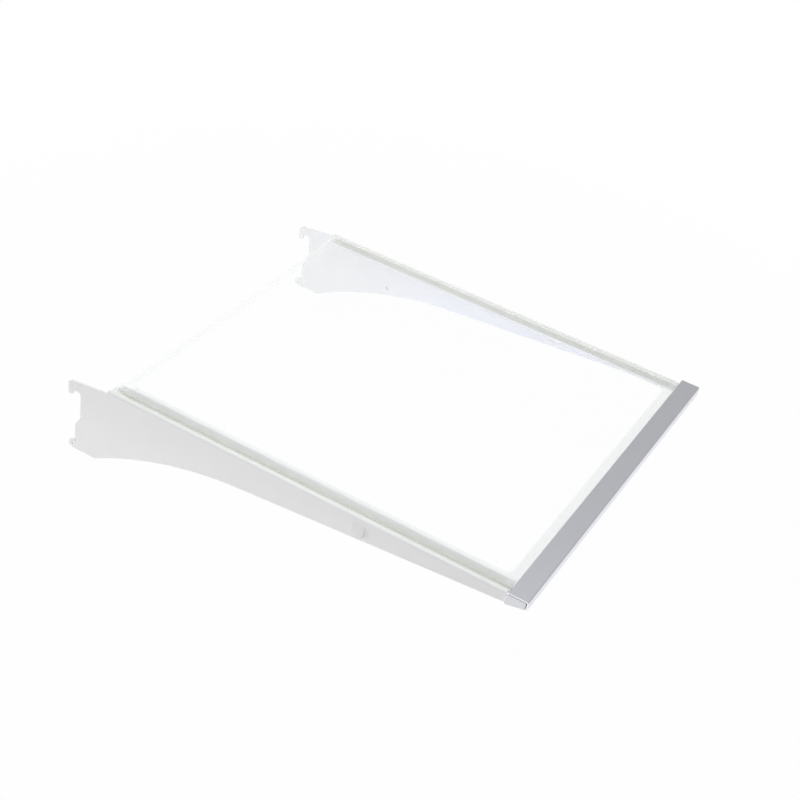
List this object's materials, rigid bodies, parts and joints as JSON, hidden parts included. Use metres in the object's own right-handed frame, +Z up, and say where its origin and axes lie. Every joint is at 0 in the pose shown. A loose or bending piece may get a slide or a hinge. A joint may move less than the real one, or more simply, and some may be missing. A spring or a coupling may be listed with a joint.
{
  "type": "refrigerator glass shelf",
  "caption": "Cantilevered refrigerator shelf: a flat glass pane with a frosted border, bonded on folded white steel side brackets with rail hooks, and a satin silver front trim with end caps",
  "frame": {"origin": "Midway between the left and right hooks, on the line where they bear on the slots of the rails, in the plane of the rails' front face", "axes": "+X to the right seen from the front, +Y to the rear, towards the rails, and +Z up; the pane is level, as the shelf hangs in use"},
  "size_m": [0.418, 0.5019, 0.0911],
  "materials": {
    "coated_steel": "white powder coat, satin",
    "pane_glass": "clear tempered glass with a frosted border",
    "adhesive": "pale translucent bonding strip",
    "satin_silver": "satin anodised",
    "cap_plastic": "fine matt grain"
  },
  "bodies": {
    "root": {"left_bracket": "coated_steel", "right_bracket": "coated_steel", "glass_pane": "pane_glass", "left_bond_strip": "adhesive", "right_bond_strip": "adhesive", "front_trim": "satin_silver", "left_end_cap": "cap_plastic", "right_end_cap": "cap_plastic"}
  },
  "joints": []
}
